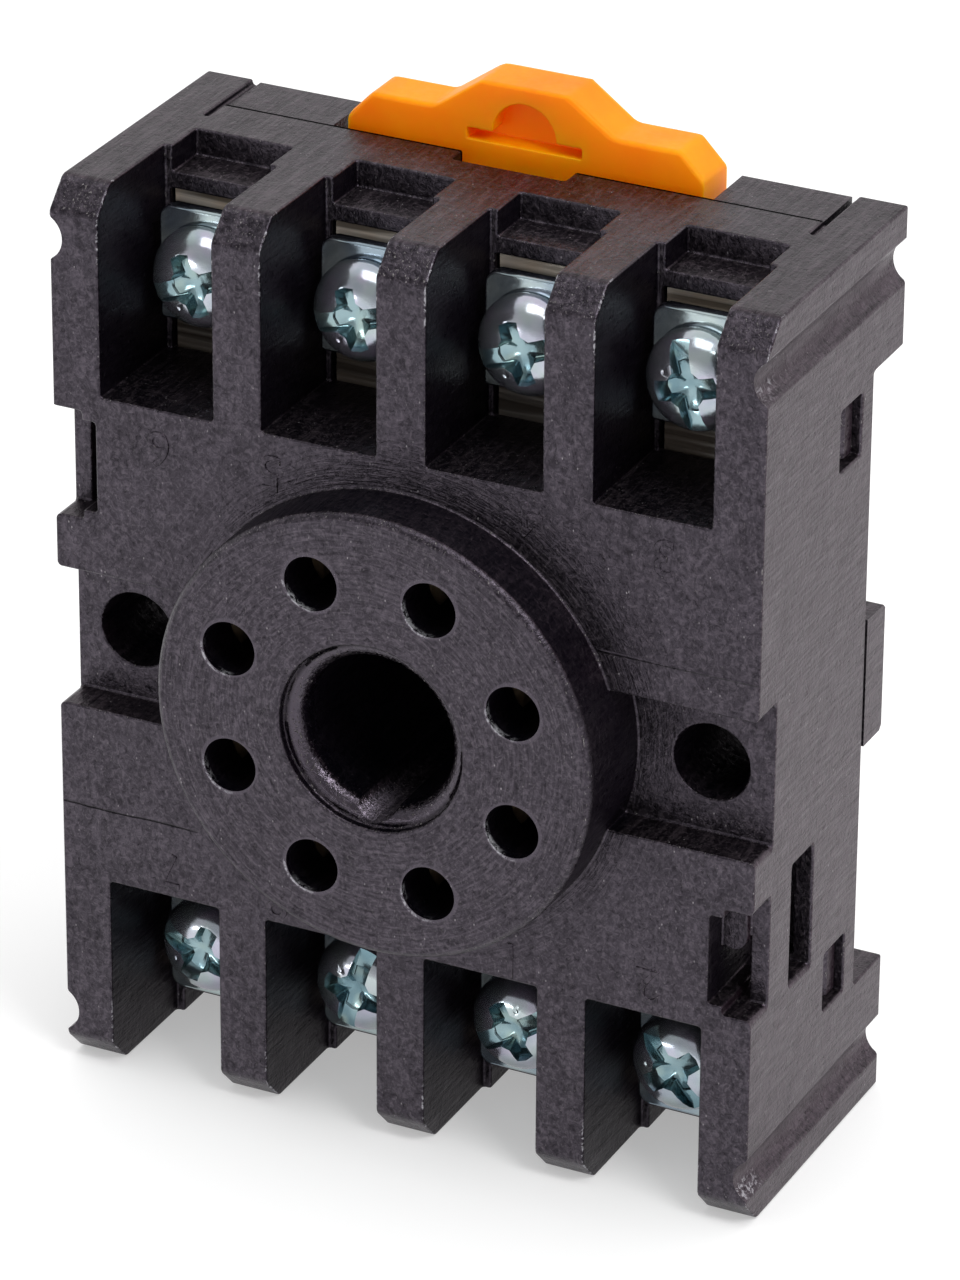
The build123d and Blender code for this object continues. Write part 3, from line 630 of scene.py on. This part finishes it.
def cross_ring(reach, half, core, height):
    """A four-armed outline with pointed arms and cut inner corners."""
    shoulder = reach - 0.12
    arm = ((core, -half), (shoulder, -half), (reach, 0), (shoulder, half), (core, half))
    points = []
    for k in range(4):
        cos_t, sin_t = math.cos(k * math.pi / 2), math.sin(k * math.pi / 2)
        for x, y in arm:
            points.append((x * cos_t - y * sin_t, x * sin_t + y * cos_t, height))
    return points


def slot_ring(half, height):
    corners = ((-SLOT_REACH, -half), (SLOT_REACH, -half), (SLOT_REACH, half), (-SLOT_REACH, half))
    return [(x, y, height) for x, y in corners]


def cut(made, vertices, faces):
    tool = add_object("cutter", mesh_of("cutter", vertices, faces))
    modifier = made.modifiers.new("cut", "BOOLEAN")
    modifier.operation = "DIFFERENCE"
    modifier.solver = "EXACT"
    modifier.object = tool
    mesh = settle(made)
    bpy.data.objects.remove(tool)
    return add_object("work", mesh)


def screw_head():
    """A pan head with a cross recess, a slot through it and a dimple."""
    made = add_object("work", mesh_of("head", *lathe(HEAD_PROFILE, 64)))
    made = cut(made, *loft([cross_ring(*ring_sizes) for ring_sizes in CROSS_RINGS]))
    made = cut(made, *loft([slot_ring(*ring_sizes) for ring_sizes in SLOT_RINGS]))
    vertices, faces = lathe(DIMPLE_PROFILE, 14)
    made = cut(made, [tuple(Vector(v) + DIMPLE_AT) for v in vertices], faces)
    soften = made.modifiers.new("soften", "BEVEL")
    soften.width = 0.04
    soften.segments = 1
    soften.limit_method = "ANGLE"
    soften.angle_limit = math.radians(38)
    soften.use_clamp_overlap = True
    return settle(made)


def thread():
    """An M3 thread below the head, plain at the neck and chamfered at the tip."""
    pitch, major, minor, length = 0.5, 1.44, 1.2, 6.0
    neck, tip = 0.3, 0.95
    around, rows_per_turn = 24, 6
    rows = int(length / pitch * rows_per_turn)
    vertices = []
    for row in range(rows + 1):
        depth = length * row / rows
        for k in range(around):
            phase = (depth / pitch + k / around) % 1
            crest = max(0.0, 1 - abs(phase - 0.5) * 2.6)
            radius = minor + (major - minor) * min(1.0, crest * 1.25)
            if depth < neck:
                radius = minor
            radius = min(radius, tip + (length - depth) * 0.9)
            turn = 2 * math.pi * k / around
            vertices.append((radius * math.cos(turn), radius * math.sin(turn), -depth))
    return mesh_of("thread", vertices, bands(rows + 1, around))


def joined(meshes):
    work = bmesh.new()
    for mesh in meshes:
        work.from_mesh(mesh)
    out = bpy.data.meshes.new("joined")
    work.to_mesh(out)
    work.free()
    return out


def dome_height(radius):
    for outer, inner in zip(HEAD_PROFILE[1:], HEAD_PROFILE):
        if inner[0] <= radius <= outer[0]:
            share = (radius - inner[0]) / (outer[0] - inner[0])
            return inner[1] + (outer[1] - inner[1]) * share
    return HEAD_PROFILE[0][1]


def mark_recess(mesh):
    """The faces sunk into the head's dome get the second material, the plating with painted shade."""
    for polygon in mesh.polygons:
        middle = polygon.center
        radius = math.hypot(middle.x, middle.y)
        if middle.z > 0.8 and radius < 2.6 and middle.z < dome_height(radius) - 0.1:
            polygon.material_index = 1


SCREW_SHAPE = joined([screw_head(), thread()])
mark_recess(SCREW_SHAPE)

# Which way each slot points, in degrees from level, as photographed
SLOT_TURNS = (202, 196, 200, 104, 158, 75, 32, 128)


def place_of(n):
    """A terminal's column, and 1 for the upper row or -1 for the lower one."""
    return COLUMNS[(n - 1) % 4], 1 if n <= 4 else -1


def add_screw(n):
    column, outward = place_of(n)
    mesh = SCREW_SHAPE.copy()
    turn = math.radians(SLOT_TURNS[n - 1])
    mesh.transform(facing_front(column, SEAT, outward * SCREW_HEIGHT, turn))
    shade(mesh, 32)
    made = link(f"screw_look_{n}", mesh, ZINC)
    mesh.materials.append(ZINC_RECESS_SHADE)
    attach(made, f"screw_{n}")
    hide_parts(f"terminal_screw_{n}")


PLATE_LOW = (-2.7, -2.9)
PLATE_HIGH = (2.7, 3.4)
PLATE_CORNERS = (0.25, 0.25, 0.7, 0.7)
PLATE_HOLE = 1.7
PLATE_THICKNESS = 0.9
PLATE_EDGE = 0.12
PLATE_FRONT = -1.37


def rounded_outline(low, high, radii):
    """A rectangle's outline with four corner radii, from the lower left round to the upper left."""
    corners = (
        (low[0], low[1], 180, radii[0]),
        (high[0], low[1], 270, radii[1]),
        (high[0], high[1], 0, radii[2]),
        (low[0], high[1], 90, radii[3]),
    )
    points = []
    for x, y, start, radius in corners:
        cx = x + radius if x == low[0] else x - radius
        cy = y + radius if y == low[1] else y - radius
        for k in range(7):
            angle = math.radians(start + 15 * k)
            points.append((cx + radius * math.cos(angle), cy + radius * math.sin(angle)))
    return points


def flat_piece(outlines, thickness, edge):
    """A flat plate with rounded edges, its front at height 0; outlines after the first are holes."""
    data = bpy.data.curves.new("outline", "CURVE")
    data.dimensions = "2D"
    data.fill_mode = "BOTH"
    for points in outlines:
        spline = data.splines.new("POLY")
        spline.points.add(len(points) - 1)
        for k, (x, y) in enumerate(points):
            spline.points[k].co = (x, y, 0, 1)
        spline.use_cyclic_u = True
    data.extrude = thickness / 2 - edge
    data.bevel_depth = edge
    data.bevel_resolution = 2
    data.offset = -edge
    mesh = settle(add_object("outline", data))
    mesh.transform(Matrix.Translation((0, 0, -thickness / 2)))
    return mesh


def plate_shape():
    turns = [-k * math.pi / 18 for k in range(36)]
    hole = [(PLATE_HOLE * math.cos(turn), PLATE_HOLE * math.sin(turn)) for turn in turns]
    outline = rounded_outline(PLATE_LOW, PLATE_HIGH, PLATE_CORNERS)
    return flat_piece([outline, hole], PLATE_THICKNESS, PLATE_EDGE)


PLATE_SHAPE = plate_shape()


def add_plate(n):
    column, outward = place_of(n)
    mesh = PLATE_SHAPE.copy()
    turn = 0 if outward > 0 else math.pi
    mesh.transform(facing_front(column, PLATE_FRONT, outward * SCREW_HEIGHT, turn))
    shade(mesh, 20)
    made = link(f"plate_look_{n}", mesh, STEEL)
    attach(made, f"clamp_{n}")
    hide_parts(f"pressure_plate_{n}")


# Moulded terminal numbers: text, x and height from the socket's centre, all upside down
NUMBERS = (
    ("6", -13.85, 12.0),
    ("5", -7.4, 12.05),
    ("4", 7.25, 12.55),
    ("3", 14.6, 12.1),
    ("7", -13.6, -12.4),
    ("8", -7.2, -12.7),
    ("1", 6.4, -12.75),
    ("2", 14.2, -12.3),
)
NUMBER_HEIGHT = 2.0
NUMBER_RISE = 0.05
NUMBER_EDGE = 0.06
NUMBER_SLIMMER = 0.03
NUMBER_SUNK = 0.045
# A digit's height as a share of its type size
DIGIT_SHARE = 0.7


def add_number(text, x, height):
    data = bpy.data.curves.new("number", "FONT")
    data.body = text
    data.align_x = "CENTER"
    data.align_y = "CENTER"
    data.size = NUMBER_HEIGHT / DIGIT_SHARE
    data.extrude = NUMBER_RISE
    data.bevel_depth = NUMBER_EDGE
    data.bevel_resolution = 2
    data.offset = -NUMBER_SLIMMER
    mesh = settle(add_object("number", data))
    mesh.transform(facing_front(x, FRONT + NUMBER_SUNK, height, math.pi))
    made = link(f"moulded_number_{text}", mesh, BLACK)
    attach(made, "socket")


def add_light(name, azimuth, elevation, distance, size, power):
    data = bpy.data.lights.new(name, "AREA")
    data.shape = "RECTANGLE"
    data.size, data.size_y = size
    data.energy = power
    light = add_object(name, data)
    a, e = math.radians(azimuth), math.radians(elevation)
    away = Vector((math.sin(a) * math.cos(e), -math.cos(a) * math.cos(e), math.sin(e)))
    aim = Vector((0, 0, 0.026))
    light.location = aim + distance * away
    light.rotation_euler = away.to_track_quat("Z", "Y").to_euler()


def add_floor():
    reach = 3.0
    corners = [(-reach, -reach, 0), (reach, -reach, 0), (reach, reach, 0), (-reach, reach, 0)]
    pale = graph_of("pale_floor").finish(
        Base_Color=rgb(0.66, 0.66, 0.66),
        Roughness=0.7,
        Emission_Color=rgb(1.0, 1.0, 1.0),
        Emission_Strength=0.38,
    )
    floor = link("floor", mesh_of("floor", corners, [(0, 1, 2, 3)]), pale)
    floor.location.z = -0.02 * MM


def add_room():
    """A white room, dimmer high up in front."""
    world = bpy.data.worlds.new("studio")
    g = Graph(world)
    _, toward_y, toward_z = g.split(g.node("ShaderNodeTexCoord", out="Generated"))
    high = g.ramp(toward_z, -0.12, 0.3)
    ahead = g.ramp(toward_y, 0.1, -0.5)
    background = g.tree.nodes["Background"]
    g.put(background.inputs["Color"], rgb(1.0, 1.0, 1.0))
    g.put(background.inputs["Strength"], g.ramp(g.times(high, ahead), 0.0, 1.0, 1.0, 0.5))
    bpy.context.scene.world = world


add_camera()
bpy.context.scene.view_settings.view_transform = "Standard"

dress("rear_cover", BLACK)
add_rounded("housing", "housing_look", 0.36 * MM, "socket", BLACK, weigh_housing)
add_rounded("din_slider", "slider_look", 0.26 * MM, "slider", ORANGE, weigh_slider)
add_spring()
for n in range(1, 9):
    dress(f"terminal_bar_{n}", BRASS)
    dress(f"pin_contact_{n}", CONTACT)
    add_screw(n)
    add_plate(n)
for text, x, height in NUMBERS:
    add_number(text, x, height)
add_floor()
add_room()
add_light("window", -27, 1, 0.6, (0.13, 0.05), 0.2)
add_light("key", 62, 50, 0.7, (0.22, 0.22), 1.7)
add_light("top", 10, 80, 0.7, (0.4, 0.4), 1.2)
